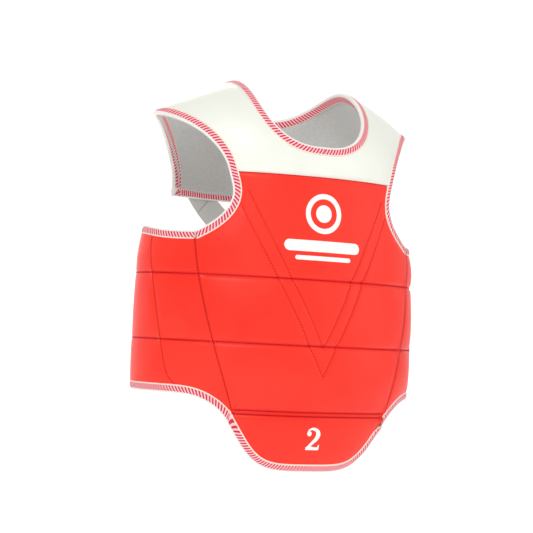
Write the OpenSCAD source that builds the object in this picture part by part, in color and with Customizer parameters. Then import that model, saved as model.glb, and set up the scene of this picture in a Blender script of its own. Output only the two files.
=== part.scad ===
// Padded martial-arts chest protector in its worn shape: quilted foam front,
// two side wings, a groin lobe, a padded yoke over the shoulders and crossed
// elastic back straps that return through rings on the wings.
// +Z is up, the front faces -Y and the wearer's right side is -X.

/* [Body shell] */
// Half-width of the torso part across its fullest rings
side_w = 191; // [186:1:196]
// Front depth of the shell from the body axis at the belly
belly_d = 137; // [133:1:141]
// Back depth as a share of the front depth
back_k = 0.95; // [0.92:0.01:0.97]
// Height of the yoke seam above the tip of the lobe
yoke_z = 368; // [364:1:372]
// Height of the wing hem above the tip of the lobe
hem_z = 92; // [88:1:96]
// Angle round the body at which each wing ends
wing_end = 132; // [126:1:136]

/* [Quilting] */
// Height of the upper quilting seam
seam_hi = 239; // [236:1:242]
// Height of the lower quilting seam
seam_lo = 157; // [154:1:160]
// Height of the fold line above the lobe
fold_z = 72.5; // [70:0.5:75]
// Share of each wing that lies in front of its own vertical seam
wing_split = 0.33; // [0.3:0.01:0.38]

/* [Neck and shoulders] */
// Half-width of the neck opening
neck_w = 78; // [74:1:82]
// Rise of the shoulder surface above the yoke seam, taken at the neck axis
dome_rise = 163; // [158:1:168]
// Fall of the shoulder line for each millimetre away from the neck axis
shoulder_fall = 0.48; // [0.44:0.01:0.52]
// Half-width of the chest at the yoke seam
chest_w = 118; // [114:1:122]
// How far each shoulder cap reaches out past the chest edge
cap_reach = 68; // [62:1:70]

/* [Layers] */
// Thickness of the outer cover and of the lining
skin_t = 1.5; // [1.2:0.1:1.8]
// Thickness of the foam in the body panels
foam_t = 15.5; // [13:0.5:16]
// Thickness of the foam in the yoke
yoke_foam_t = 4.5; // [3.5:0.5:5]
// Width of the edge binding on each face
bind_w = 10; // [8:0.5:11]

/* [Straps] */
// Width of the elastic straps
strap_w = 38; // [30:1:40]
// Thickness of the straps
strap_t = 1.6; // [1.2:0.1:2]
// Height of the strap rings above the tip of the lobe
ring_z = 150; // [140:1:160]
// Radius of the ring wire
wire_r = 2; // [1.8:0.1:2.2]
// Length of the folded end of each strap
tab_len = 62; // [54:1:70]

/* [Hidden] */

// The row frame has its origin on the body axis at shoulder-rest height.
rest_z = 482;

cover_red = "#f23a30";
yoke_white = "#f4f4ee";
lining_grey = "#dcdcd8";
foam_grey = "#3c3c40";
bind_pink = "#e8607a";

yoke_b = belly_d - 19;
yoke_a = 175;
yoke_back = 192;
eps_gap = 0.5;
foam_in = skin_t + eps_gap;
lining_in = foam_in + foam_t + 1;
body_t = lining_in + skin_t;
yoke_lining_in = foam_in + yoke_foam_t + eps_gap;
yoke_t = yoke_lining_in + skin_t;
fold_gap = 3;
foam_gap = 5;
foam_edge = 2.4;
foam_slack = 0.4;
hinge_gap = 1.7;
lining_hinge_gap = 3.2;
bind_gap = 0.6;
curve_gap = 1.8;
bind_out = 3;
bind_in = 10;

function mix(a, b, t) = a + (b - a) * t;
function ease(lo, hi, v) = let (k = min(1, max(0, (v - lo) / (hi - lo)))) k * k * (3 - 2 * k);
function unit(v) = v / norm(v);

// ---- the body surface: rings below the yoke seam, a shoulder dome above it ----

function half_w(z) = z < 110 ? side_w - 41 * pow(1 - z / 110, 2) : side_w - 16 * ease(250, yoke_z, z);
function depth(z) = z < 140 ? belly_d - 27 * pow(1 - z / 140, 2) : belly_d - 19 * ease(150, 340, z);

// Point on the ring at height z, th degrees round from the centre of the front,
// and d under the outer surface.
function ring_at(th, z, d) =
    let (b = abs(th) <= 90 ? depth(z) : back_k * depth(z))
    [(half_w(z) - d) * sin(th), -(b - d) * cos(th), z];
function turn_of(x, z) = asin(max(-1, min(1, x / half_w(z))));
function front_at(x, z, d) = ring_at(turn_of(x, z), z, d);

// Point on the yoke: x across, s degrees of travel from the front seam over the
// shoulder, and on down the back past 180.
function yoke_at(x, s, d) =
    let (
        q = x / yoke_a,
        b = (s <= 90 ? 1 : back_k) * yoke_b * (1 - q * q / 2 - pow(q, 4) / 8) - d,
        rise = dome_rise + 2.5 - shoulder_fall * sqrt(x * x + 900) - d
    )
    s <= 180 ? [x, -b * cos(s), yoke_z + rise * sin(s)] : [x, b, yoke_z - 1.9 * (s - 180)];

// ---- outlines ----

// Height of the hem above the lobe tip, x out from the centre.
hem_reach = 110.5;
function hem_at(x) = hem_z * (1 - exp(-pow(abs(x) / hem_reach, 4.7)));

// Half-width of the front panel: the wing seam, then the armhole above it.
seam_top = 292;
function seam_x(z) = 107 + 46 * (1 - pow(1 - min(1, max(0, (z - 72) / 216)), 1.7));
arm_waist = 345;
function arm_x(z) = z < arm_waist ?
    112 + 40 * pow((arm_waist - z) / 53, 2.15) :
    112 + (chest_w - 112) * pow((z - arm_waist) / (yoke_z - arm_waist), 1.2);
function arm_slope(z) = arm_x(z + 0.5) - arm_x(z - 0.5);
// Half-width at height z that keeps e mm square off the armhole.
function arm_inside(z, e) =
    let (
        g0 = arm_slope(min(z + e, yoke_z)), z1 = z - e * g0 / norm([1, g0]),
        g = arm_slope(min(z1, yoke_z)), z2 = min(z - e * g / norm([1, g]), yoke_z)
    )
    arm_x(z2) - e / norm([1, g]);

// Neck opening and outer edge of the yoke as [x, s], t degrees round the neck.
function neck_edge(t) =
    let (c = cos(t), w = sin(t))
    [neck_w * sign(w) * pow(abs(w), 0.8), 90 - (c > 0 ? 75.6 * pow(c, 0.476) : -53 * pow(-c, 0.77))];
function cap_x(s) = chest_w + (s < 180 ? cap_reach * pow(max(0, sin(s)), 1.4) : 0);
// Edge left by insets: e mm from the armhole, m degrees from the front seam and
// h degrees from the back hem.
function outer_half(t, e, m, h) =
    t <= 45 ? [(chest_w - e) * t / 45, m] :
    t <= 135 ? (let (s = mix(m, yoke_back - h, (t - 45) / 90)) [cap_x(s) - e, s]) :
    [(chest_w - e) * (180 - t) / 45, yoke_back - h];
function outer_edge(t, e, m, h) =
    let (k = (t + 360) % 360)
    k <= 180 ? outer_half(k, e, m, h) : (let (p = outer_half(360 - k, e, m, h)) [-p[0], p[1]]);

function span_at(t) =
    let (n = neck_edge(t), o = outer_edge(t, 0, 0, 0))
    norm(yoke_at(o[0], o[1], 0) - yoke_at(n[0], n[1], 0));
// Point across the yoke, from neck_in mm off the neck edge (0) to the outer edge (1).
function yoke_ring(t, r, d, neck_in, e, m, h) =
    let (
        n = neck_edge(t), o = outer_edge(t, 0, 0, 0),
        q = mix(mix(n, o, neck_in / span_at(t)), outer_edge(t, e, m, h), r)
    )
    yoke_at(q[0], q[1], d);

// Wing outline: u runs from the wing seam (0) to the back edge (1).
wing_corner = 20;
wing_arc = 235;
function corner_drop(u) =
    let (k = max(0, 1 - (1 - u) * wing_arc / wing_corner))
    wing_corner * (1 - sqrt(max(0, 1 - k * k)));
function wing_turn(u, z) = mix(turn_of(seam_x(z), z), wing_end, u);
function wing_low(u) =
    let (th = mix(34.9, wing_end, u))
    hem_at(188 * sin(min(90, th))) + corner_drop(u);
function wing_high(u) = mix(seam_top, 299, ease(0.12, 0.6, u)) - corner_drop(u);
function wing_at(u, v, d) =
    let (z = mix(wing_low(u), wing_high(u), v))
    ring_at(-wing_turn(u, z), z, d);

// ---- solids made from a grid of points on two layers ----

// f(u, v, d) gives a point; the solid lies between layers d0 (outer) and d1.
module shell(nu, nv, d0, d1, f, wrap = false) {
    nc = wrap ? nu : nu + 1;
    count = nc * (nv + 1);
    points = [for (d = [d0, d1], j = [0:nv], i = [0:nc - 1]) f(i / nu, j / nv, d)];
    function at(i, j, k) = (wrap ? i % nu : i) + j * nc + k * count;
    function quad(a, b, c, e) = [[a, b, c], [a, c, e]];
    sides = concat(
        [for (j = [0:nv - 1], i = [0:nu - 1])
            each quad(at(i, j, 0), at(i, j + 1, 0), at(i + 1, j + 1, 0), at(i + 1, j, 0))],
        [for (j = [0:nv - 1], i = [0:nu - 1])
            each quad(at(i, j, 1), at(i + 1, j, 1), at(i + 1, j + 1, 1), at(i, j + 1, 1))],
        [for (i = [0:nu - 1]) each quad(at(i, 0, 0), at(i + 1, 0, 0), at(i + 1, 0, 1), at(i, 0, 1))],
        [for (i = [0:nu - 1]) each quad(at(i, nv, 0), at(i, nv, 1), at(i + 1, nv, 1), at(i + 1, nv, 0))]
    );
    ends = wrap ? [] : concat(
        [for (j = [0:nv - 1]) each quad(at(0, j, 0), at(0, j, 1), at(0, j + 1, 1), at(0, j + 1, 0))],
        [for (j = [0:nv - 1]) each quad(at(nu, j, 0), at(nu, j + 1, 0), at(nu, j + 1, 1), at(nu, j, 1))]
    );
    translate([0, 0, -rest_z]) polyhedron(points, concat(sides, ends), convexity = 6);
}

// ---- front panel ----

// Half-width left between the seam or armhole and an inset from each.
function panel_w(z, seam_in, arm_in) =
    min(seam_x(min(z, seam_top)) - seam_in, z < seam_top - 2 * arm_in ? side_w : arm_inside(z, arm_in));

module front_layer(nu, nv, z0, z1, d0, d1, seam_in, arm_in) {
    shell(nu, nv, d0, d1, function (u, v, d)
        let (z = mix(z0, z1, v), x = (2 * u - 1) * panel_w(z, seam_in, arm_in))
        front_at(x, z, d));
}

// ---- lobe ----

lobe_w = 104;
function hem_slope(x) = hem_at(abs(x) + 0.5) - hem_at(abs(x) - 0.5);
function lobe_low(x) = hem_at(x) + (bind_w + bind_gap) * norm([1, hem_slope(x)]);
module lobe_layer(nu, nv, d0, d1, inset) {
    shell(nu, nv, d0, d1, function (u, v, d)
        let (x = (2 * u - 1) * (lobe_w - 7 - inset), top = fold_z - fold_gap - inset)
        front_at(x, mix(lobe_low(x) + inset, top, v), d));
}

// ---- wings ----

inset_u = (bind_w + bind_gap) / wing_arc;
inset_v = (bind_w + bind_gap) / 200;
module wing_layer(nu, nv, d0, d1, seam_in) {
    shell(nu, nv, d0, d1, function (u, v, d)
        wing_at(mix(1 - inset_u, seam_in / wing_arc, u), mix(inset_v, 1 - inset_v, v), d));
}
// One foam block of a wing, between shares u0 and u1 and heights z0 and z1.
module wing_block(u0, u1, z0, z1) {
    edge = bind_w + bind_gap + 1.4;
    shell(5, 3, foam_in, foam_in + foam_t, function (u, v, d)
        let (
            w = mix(u1, u0, u),
            th = min(90, mix(34.9, wing_end, w)),
            rise = norm([1, hem_slope(188 * sin(th)) * cos(th)]),
            z = mix(max(z0, wing_low(w) + edge * rise), min(z1, wing_high(w) - edge), v)
        )
        ring_at(-wing_turn(w, z), z, d));
}

// ---- edge bindings ----

module neck_binding_band() {
    shell(56, 1, 0.5, yoke_t - 0.5, function (u, v, d)
        let (
            t = 360 * u, n = neck_edge(t), o = outer_edge(t, 0, 0, 0),
            q = mix(n, o, v * bind_w / span_at(t))
        )
        yoke_at(q[0], q[1], d), wrap = true);
}
// Follows the armhole from the wing seam up to the yoke, then the yoke's edge
// over the shoulder and down to the back hem.
function armhole_strip(u, v, d) =
    v < 0.4 ?
        (let (
            z = mix(seam_top + 2, yoke_z, v / 0.4),
            g = arm_slope(z),
            n = [-1, g] / norm([1, g]),
            w = bind_w * (1 - u)
        )
        front_at(-(arm_x(z) + n[0] * w), min(yoke_z, z + n[1] * w), d)) :
        (let (s = yoke_back * (v - 0.4) / 0.6) yoke_at(bind_w * (1 - u) - cap_x(s), s, d));
module armhole_binding_band() {
    shell(1, 45, 0.5, yoke_t - 0.5, function (u, v, d) armhole_strip(u, v, d));
}
module back_hem_band() {
    shell(16, 1, 0.5, yoke_t - 0.5, function (u, v, d)
        let (w = chest_w - bind_w - 1.5)
        yoke_at(mix(w, -w, u), yoke_back - (1 - v) * bind_w / 1.9, d));
}
// Runs along the top, back edge and hem of a wing.
function wing_rim(k) =
    k < 0.42 ? [mix(0.012, 1, k / 0.42), 1] :
    k < 0.58 ? [1, mix(1, 0, (k - 0.42) / 0.16)] :
    [mix(1, 0.012, (k - 0.58) / 0.42), 0];
function wing_rim_in(k) =
    let (p = wing_rim(k), iu = bind_w / wing_arc, iv = bind_w / 200)
    [min(1 - iu, p[0]), min(1 - iv, max(iv, p[1]))];
module wing_binding_band() {
    shell(1, 64, bind_out, bind_out + bind_in, function (u, v, d)
        let (k = mix(0, 1, v), p = mix(wing_rim(k), wing_rim_in(k), u))
        wing_at(p[0], p[1], d));
}
module lobe_binding_band() {
    shell(28, 1, bind_out, bind_out + bind_in, function (u, v, d)
        let (
            x = (2 * u - 1) * lobe_w,
            g = hem_slope(x),
            w = bind_w * v / norm([1, g])
        )
        front_at(x - sign(x) * g * w, hem_at(x) + w, d));
}

// ---- straps and hardware (drawn for the ring on the right wing) ----

// One curve carries the loop, ring and strap of a side: k = 0 is the back edge of
// the wing, k = 1 the hem of the yoke beyond the middle of the back.
curve_turn = 68;
curve_rise = 344 - ring_z;
k_ring = 0.084;
k_mm = 0.0035;
ring_len = 17;
fold_len = 40;
function curve_depth(k) = -3.2 + 14.2 * ease(0.1, 0.45, k) - 13.75 * ease(0.7, 0.97, k);
function curve_at(k, d) = ring_at(-(wing_end + curve_turn * k), ring_z + curve_rise * k, d);
function curve_mid(k) = curve_at(k, curve_depth(k));
function curve_dir(k) = unit(curve_mid(k + 0.01) - curve_mid(k - 0.01));
function curve_side(k) = unit(cross(curve_at(k, -1) - curve_at(k, 0), curve_dir(k)));
function curve_out(k) = cross(curve_dir(k), curve_side(k));
// Point on the curve h mm above its centre line.
function over(k, h) = curve_mid(k) + curve_out(k) * h;

// Places a child drawn with X along the strap, Y across it and Z away from the back,
// with its origin p mm along from the middle of the ring.
module at_ring(p) {
    x = curve_dir(k_ring);
    y = curve_side(k_ring);
    z = curve_out(k_ring);
    q = curve_mid(k_ring) + x * p - [0, 0, rest_z];
    multmatrix([[x[0], y[0], z[0], q[0]], [x[1], y[1], z[1], q[1]], [x[2], y[2], z[2], q[2]], [0, 0, 0, 1]])
        children();
}

// Flat ribbon swept along a list of [centre, direction across, direction out].
module ribbon(line, w, t) {
    n = len(line) - 1;
    shell(2, n, 0, 1, function (u, v, d)
        let (c = line[round(v * n)])
        c[0] + c[1] * w * (0.5 - u) + c[2] * t * (0.5 - d));
}
function curve_frame(k, h) = [over(k, h), curve_side(k), curve_out(k)];
k_bar = k_ring + ring_len / 2 * k_mm;
k_fold = k_bar + fold_len * k_mm;
bar_r = wire_r + 0.15 + strap_t / 2;
leg_in = 1.6;
leg_out = 0.9;

// The strap proper; lift keeps one strap clear of the other where they cross.
module back_strap(lift) {
    ribbon([for (i = [0:28])
        let (
            k = mix(k_fold + 1.2 * k_mm, 0.955, i / 28),
            h = lift * ease(0.4, 0.55, k) * (1 - ease(0.82, 0.93, k))
        )
        curve_frame(k, leg_in - bar_r + h)], strap_w, strap_t);
}
// End of the strap: in along the body side, round the outer bar, then back outside.
module strap_tab() {
    bar = curve_mid(k_ring) + curve_dir(k_ring) * ring_len / 2;
    x = curve_dir(k_ring);
    z = curve_out(k_ring);
    ribbon(concat(
        [for (i = [8:-1:1])
            let (q = fold_len * i / 8)
            curve_frame(k_bar + q * k_mm, leg_in * ease(0, 26, q) - bar_r)],
        [for (a = [-90:-15:-270])
            let (o = x * cos(a) + z * sin(a))
            [bar + o * bar_r, curve_side(k_ring), -o]],
        [for (i = [1:10])
            let (q = tab_len * i / 10, f = curve_frame(k_bar + q * k_mm, bar_r - leg_out * ease(0, 26, q)))
            [f[0], f[1], -f[2]]]
    ), strap_w, strap_t);
}
module hook_patch() {
    ribbon([for (i = [0:5]) curve_frame(k_bar + (tab_len - 32 + 6 * i) * k_mm, 0.35)], strap_w - 4, 1);
}
module strap_ring() {
    half = strap_w / 2 + 3.5;
    at_ring(0) {
        for (x = [-0.5, 0.5]) translate([x * ring_len, 0, 0])
            rotate([90, 0, 0]) cylinder(h = 2 * half, r = wire_r, center = true, $fn = 40);
        for (y = [-half, half]) translate([-ring_len / 2 - wire_r - 0.5, y - wire_r, -wire_r - 0.3])
            cube([ring_len + 2 * wire_r + 1, 2 * wire_r, 2 * wire_r + 0.6]);
    }
}
// Webbing loop that holds the ring to the edge of the wing.
loop_len = 34;
module ring_loop() {
    at_ring(-ring_len / 2) difference() {
        union() {
            rotate([90, 0, 0]) cylinder(h = strap_w, r = wire_r + 0.15 + strap_t, center = true, $fn = 48);
            translate([-loop_len, -strap_w / 2, -strap_t]) cube([loop_len - 2, strap_w, 2 * strap_t]);
        }
        rotate([90, 0, 0]) cylinder(h = strap_w + 2, r = wire_r + 0.15, center = true, $fn = 48);
    }
}
// Sewn end of the strap on the back of the yoke.
module strap_anchor() {
    ribbon([for (i = [0:6])
        let (k = mix(0.96, 1.09, i / 6))
        [curve_at(k, -2.1), curve_side(k), curve_out(k)]], strap_w, strap_t);
}

// ---- printed marks ----

print_in = -0.3;
print_out = -0.65;
module ring_on_front(r0, r1, z0) {
    shell(40, 2, print_out, print_in, function (u, v, d)
        front_at(mix(r0, r1, v) * cos(-360 * u), z0 + mix(r0, r1, v) * sin(-360 * u), d), wrap = true);
}
module bar_on_front(w, h, z0) {
    shell(12, 2, print_out, print_in, function (u, v, d) front_at(w * (u - 0.5), z0 + h * (v - 0.5), d));
}
module chest_roundel() {
    ring_on_front(18, 25, 322);
    ring_on_front(0.5, 11, 322);
}
module chest_bar() {
    bar_on_front(106, 14, 281);
    bar_on_front(78, 5.5, 266);
}
// Size numeral 2 drawn as a bent stroke: f gives its centre line.
numeral_h = 26;
numeral_line = concat(
    [for (a = [170:-20:-30]) [7.5 * cos(a), numeral_h / 2 - 7.5 + 7.5 * sin(a)]],
    [[1, -4], [-5, -9], [-7.5, -numeral_h / 2 + 1.8], [8.5, -numeral_h / 2 + 1.8]]
);
module size_numeral() {
    n = len(numeral_line) - 1;
    function heading(i) = unit(numeral_line[min(n, i + 1)] - numeral_line[max(0, i - 1)]);
    shell(1, n, print_out, print_in, function (u, v, d)
        let (i = round(v * n), h = heading(i), p = numeral_line[i] + [h[1], -h[0]] * 3.6 * (u - 0.5))
        front_at(p[0], 43 + p[1], d));
}

// ---- parts ----

module flip() { mirror([1, 0, 0]) children(); }

module front_cover() {
    color(cover_red)
        front_layer(18, 14, fold_z + fold_gap, yoke_z - 0.8, 0, skin_t, hinge_gap, bind_w + curve_gap);
}
module front_lining() {
    color(lining_grey)
        front_layer(18, 14, fold_z + fold_gap + 1, yoke_z - 2, lining_in, body_t, lining_hinge_gap,
            bind_w + curve_gap);
}
module front_foam(nv, z0, z1) {
    color(foam_grey)
        front_layer(18, nv, z0, z1, foam_in + foam_slack, foam_in + foam_t, foam_gap, bind_w + foam_edge);
}
module lobe_cover() { color(cover_red) lobe_layer(16, 6, 0, skin_t, 0); }
module lobe_lining() { color(lining_grey) lobe_layer(16, 6, lining_in, body_t, 0.5); }
module lobe_foam() { color(foam_grey) lobe_layer(10, 3, foam_in, foam_in + foam_t, 3); }
module wing_cover() { color(cover_red) wing_layer(14, 10, 0, skin_t, hinge_gap); }
module wing_lining() { color(lining_grey) wing_layer(14, 10, lining_in, body_t, lining_hinge_gap); }
module side_foam(z) {
    color(foam_grey) wing_block(foam_gap / wing_arc, wing_split - foam_gap / wing_arc, z[0], z[1]);
}
module back_foam(z) {
    color(foam_grey)
        wing_block(wing_split + foam_gap / wing_arc, 1 - (bind_w + foam_edge) / wing_arc, z[0], z[1]);
}

// Part of the yoke between t0 and t1 degrees round the neck, edge mm inside its
// bindings and m degrees off the front seam. Every layer has points at the same
// turns, so that layers lie parallel.
module yoke_layer(t0, t1, d0, d1, edge, m) {
    shell((t1 - t0) / 5, 6, d0, d1, function (u, v, d)
        yoke_ring(mix(t0, t1, u), v, d, edge, edge, m, edge / 1.9), wrap = (t1 - t0 >= 360));
}
module yoke_cover() {
    color(yoke_white) yoke_layer(0, 360, 0, skin_t, bind_w + curve_gap, 0.35);
}
module yoke_lining() {
    color(lining_grey) yoke_layer(0, 360, yoke_lining_in, yoke_t, bind_w + curve_gap, 0.35);
}
module yoke_foam(t0, t1) {
    color(foam_grey) yoke_layer(t0, t1, foam_in, foam_in + yoke_foam_t, bind_w + foam_edge, 2);
}

module wing_binding() { color(bind_pink) wing_binding_band(); }
module armhole_binding() { color(bind_pink) armhole_binding_band(); }
module webbing() { color(yoke_white) children(); }

upper = [seam_hi + foam_gap, 400];
middle = [seam_lo + foam_gap, seam_hi - foam_gap];
lower = [0, seam_lo - foam_gap];

front_cover();
lobe_cover();
wing_cover();  // wing_cover_right
flip() wing_cover();  // wing_cover_left
yoke_cover();
front_lining();
lobe_lining();
wing_lining();  // wing_lining_right
flip() wing_lining();  // wing_lining_left
yoke_lining();
front_foam(8, seam_hi + foam_gap, yoke_z - 6);  // chest_foam
front_foam(3, middle[0], middle[1]);  // middle_foam
front_foam(3, fold_z + foam_gap + 2, seam_lo - foam_gap);  // abdomen_foam
lobe_foam();
side_foam(upper);  // side_foam_upper_right
side_foam(middle);  // side_foam_middle_right
side_foam(lower);  // side_foam_lower_right
back_foam(upper);  // back_foam_upper_right
back_foam(middle);  // back_foam_middle_right
back_foam(lower);  // back_foam_lower_right
flip() side_foam(upper);  // side_foam_upper_left
flip() side_foam(middle);  // side_foam_middle_left
flip() side_foam(lower);  // side_foam_lower_left
flip() back_foam(upper);  // back_foam_upper_left
flip() back_foam(middle);  // back_foam_middle_left
flip() back_foam(lower);  // back_foam_lower_left
yoke_foam(-40, 40);  // yoke_foam_front
yoke_foam(140, 220);  // yoke_foam_back
flip() yoke_foam(45, 135);  // shoulder_foam_right
yoke_foam(45, 135);  // shoulder_foam_left
color(bind_pink) neck_binding_band();  // neck_binding
armhole_binding();  // armhole_binding_right
flip() armhole_binding();  // armhole_binding_left
color(bind_pink) back_hem_band();  // back_hem_binding
wing_binding();  // wing_binding_right
flip() wing_binding();  // wing_binding_left
color(bind_pink) lobe_binding_band();  // lobe_binding
webbing() back_strap(-2);  // back_strap_right
webbing() flip() back_strap(2);  // back_strap_left
webbing() flip() strap_anchor();  // strap_anchor_right
webbing() strap_anchor();  // strap_anchor_left
webbing() ring_loop();  // ring_loop_right
webbing() flip() ring_loop();  // ring_loop_left
color("#202022") strap_ring();  // strap_ring_right
color("#202022") flip() strap_ring();  // strap_ring_left
webbing() strap_tab();  // strap_tab_right
webbing() flip() strap_tab();  // strap_tab_left
color("#303034") hook_patch();  // hook_patch_right
color("#303034") flip() hook_patch();  // hook_patch_left
color(yoke_white) chest_roundel();
color(yoke_white) chest_bar();
color(yoke_white) size_numeral();
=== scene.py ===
"""Looks of the padded chest protector: quilted vinyl skins over the CAD foam, folded
striped bindings, stitching, printed marks and elastic straps. Lengths are in
millimetres and heights are above the tip of the lobe, until a mesh is made in the
row frame in metres."""
import math

import bpy
import numpy as np
from mathutils import Matrix, Vector, kdtree, noise


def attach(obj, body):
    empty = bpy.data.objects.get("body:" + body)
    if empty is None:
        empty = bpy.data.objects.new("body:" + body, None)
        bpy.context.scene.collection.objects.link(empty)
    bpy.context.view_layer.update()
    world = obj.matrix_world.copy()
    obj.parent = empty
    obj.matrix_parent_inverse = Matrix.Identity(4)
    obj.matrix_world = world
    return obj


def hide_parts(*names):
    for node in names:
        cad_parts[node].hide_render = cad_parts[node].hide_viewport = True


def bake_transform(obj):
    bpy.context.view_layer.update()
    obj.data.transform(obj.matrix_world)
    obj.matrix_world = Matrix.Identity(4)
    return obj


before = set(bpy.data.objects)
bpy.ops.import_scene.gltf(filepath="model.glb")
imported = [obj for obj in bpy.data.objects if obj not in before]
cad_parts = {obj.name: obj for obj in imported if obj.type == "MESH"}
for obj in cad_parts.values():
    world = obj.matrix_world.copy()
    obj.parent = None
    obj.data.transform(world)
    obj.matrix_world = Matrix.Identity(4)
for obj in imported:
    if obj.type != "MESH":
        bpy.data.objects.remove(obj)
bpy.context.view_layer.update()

REST_Z = 482  # height of the row frame's origin above the tip of the lobe
YOKE_Z = 368  # seam between the chest and the yoke
FOLD_Z = 72.5  # fold between the front and the lobe
HEM_Z = 92
SEAM_TOP = 292  # where the wing seam meets the armhole
SEAM_HI, SEAM_LO = 239, 157
FRONT_H = YOKE_Z - FOLD_Z
WING_H = SEAM_TOP - HEM_Z
WING_LEN = 235
WING_TOP = 299  # top of the wing at its back
WING_R = 188  # radius that gives the hem's height round the wing
WING_CORNER = 20  # radius of the wing's back corners
BODY_W, BODY_DEPTH = 191, 137  # widest half-width and depth of the body
YOKE_W, YOKE_DEPTH = 175, 118  # half-width and depth of the body at the yoke seam
CHEST_W = 118  # half-width of the yoke at its front seam
NECK_W = 78
ARM_Z, ARM_W = 345, 112  # where the armhole comes closest to the middle
WING_START, WING_END = 34.9, 132  # degrees round from the front at the hem
YOKE_BACK = 192  # degrees over the shoulder to the back hem
BACK_K = 0.95  # how deep the back half of the body is beside the front half
BACK_DROP = 1.9  # fall of the yoke for each degree past its back, in mm
LOBE_W, LOBE_TAPE_W = 106.8, 108.5  # half-width of the lobe's skin and of its tape
BIND_W = 10
TUCK = BIND_W - 3  # the skins end this far inside the edge, under the tape
BODY_T = 20
EDGE_T = 11.5
YOKE_T = 9
STRAP_W, STRAP_T = 38, 1.6
WIRE_R = 2.0
RING_Z = 150
FRONT, LOBE = "front_and_yoke", "lobe"
SIDES = (("right", False), ("left", True))


# ---- the body surface, the same formulas as the CAD ----

def mix(a, b, t):
    return a + (b - a) * t


def ease(lo, hi, v):
    k = np.clip((v - lo) / (hi - lo), 0, 1)
    return k * k * (3 - 2 * k)


def unit(v):
    return v / np.linalg.norm(v, axis=-1, keepdims=True)


def stack(x, y, z):
    return np.stack(np.broadcast_arrays(x, y, z), axis=-1).astype(float)


def half_w(z):
    low = BODY_W - 41 * (1 - np.minimum(z, 110) / 110) ** 2
    return np.where(z < 110, low, BODY_W - (BODY_W - YOKE_W) * ease(250, YOKE_Z, z))


def depth(z):
    low = BODY_DEPTH - 27 * (1 - np.minimum(z, 140) / 140) ** 2
    return np.where(z < 140, low, BODY_DEPTH - (BODY_DEPTH - YOKE_DEPTH) * ease(150, 340, z))


def ring_at(th, z, d):
    """Point th degrees round from the centre of the front, d under the outer surface."""
    b = np.where(np.abs(th) <= 90, 1, BACK_K) * depth(z)
    t = np.radians(th)
    return stack((half_w(z) - d) * np.sin(t), -(b - d) * np.cos(t), z)


def turn_of(x, z):
    return np.degrees(np.arcsin(np.clip(x / half_w(z), -1, 1)))


def front_at(x, z, d):
    return ring_at(turn_of(x, z), z, d)


def yoke_at(x, s, d):
    """Point x across the yoke and s degrees over the shoulder from the front seam."""
    q = x / YOKE_W
    b = np.where(s <= 90, 1, BACK_K) * YOKE_DEPTH * (1 - q**2 / 2 - q**4 / 8) - d
    rise = 165.5 - 0.48 * np.sqrt(x**2 + 900) - d
    a = np.radians(np.minimum(s, 180))
    return stack(x, -b * np.cos(a), YOKE_Z + rise * np.sin(a) - BACK_DROP * np.maximum(s - 180, 0))


def hem_at(x):
    return HEM_Z * (1 - np.exp(-((np.abs(x) / 110.5) ** 4.7)))


def hem_slope(x):
    return hem_at(np.abs(x) + 0.5) - hem_at(np.abs(x) - 0.5)


def seam_x(z):
    return 107 + 46 * (1 - (1 - np.clip((z - 72) / 216, 0, 1)) ** 1.7)


def arm_x(z):
    low = ARM_W + 40 * (np.maximum(ARM_Z - z, 0) / (ARM_Z - SEAM_TOP)) ** 2.15
    high = ARM_W + (CHEST_W - ARM_W) * (np.maximum(z - ARM_Z, 0) / (YOKE_Z - ARM_Z)) ** 1.2
    return np.where(z < ARM_Z, low, high)


def arm_slope(z):
    return arm_x(z + 0.5) - arm_x(z - 0.5)


def arm_inside(z, e):
    """Half-width at height z that keeps e mm square off the armhole."""
    g = arm_slope(np.minimum(z + e, YOKE_Z))
    for _ in range(3):
        at = np.minimum(z - e * g / np.hypot(1, g), YOKE_Z)
        g = arm_slope(at)
    return arm_x(at) - e / np.hypot(1, g)


def neck_edge(t):
    """Place x, s of the neck's edge, t degrees round from the front."""
    c, w = np.cos(np.radians(t)), np.sin(np.radians(t))
    front = 75.6 * np.maximum(c, 0) ** 0.476
    back = -53 * np.maximum(-c, 0) ** 0.77
    return NECK_W * np.sign(w) * np.abs(w) ** 0.8, 90 - np.where(c > 0, front, back)


def cap_x(s):
    """Half-width of the yoke, s degrees over the shoulder."""
    return CHEST_W + np.where(s < 180, 68 * np.maximum(np.sin(np.radians(s)), 0) ** 1.4, 0)


def outer_edge(t, e, m, h):
    """Outer edge of the yoke, e mm off the armhole, m and h degrees off the seams."""
    k = t % 360
    side = np.where(k <= 180, 1, -1)
    k = np.where(k <= 180, k, 360 - k)
    s = mix(m, YOKE_BACK - h, np.clip((k - 45) / 90, 0, 1))
    seam_w = CHEST_W - e
    x = np.where(k <= 45, seam_w * k / 45, np.where(k <= 135, cap_x(s) - e, seam_w * (180 - k) / 45))
    return side * x, s


def wing_turn(u, z):
    return mix(turn_of(seam_x(z), z), WING_END, u)


def corner_drop(u):
    k = np.maximum(0, 1 - (1 - u) * WING_LEN / WING_CORNER)
    return WING_CORNER * (1 - np.sqrt(np.maximum(0, 1 - k * k)))


def wing_low(u):
    th = mix(WING_START, WING_END, u)
    return hem_at(WING_R * np.sin(np.radians(np.minimum(90, th)))) + corner_drop(u)


def wing_high(u):
    return mix(SEAM_TOP, WING_TOP, ease(0.12, 0.6, u)) - corner_drop(u)


def wing_at(u, v, d):
    """Point on the right wing: u from the front seam to the back edge, v up from the hem."""
    z = mix(wing_low(u), wing_high(u), v)
    return ring_at(-wing_turn(u, z), z, d)


def side_seam_turn(z):
    """Where the wing's own vertical seam runs, in degrees round the body."""
    return 67.2 + 0.0925 * (z - 120) - 5.2 * np.exp(-(z - 101) / 9)


def mirrored(p, flip):
    return p * np.array([-1, 1, 1]) if flip else p


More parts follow.
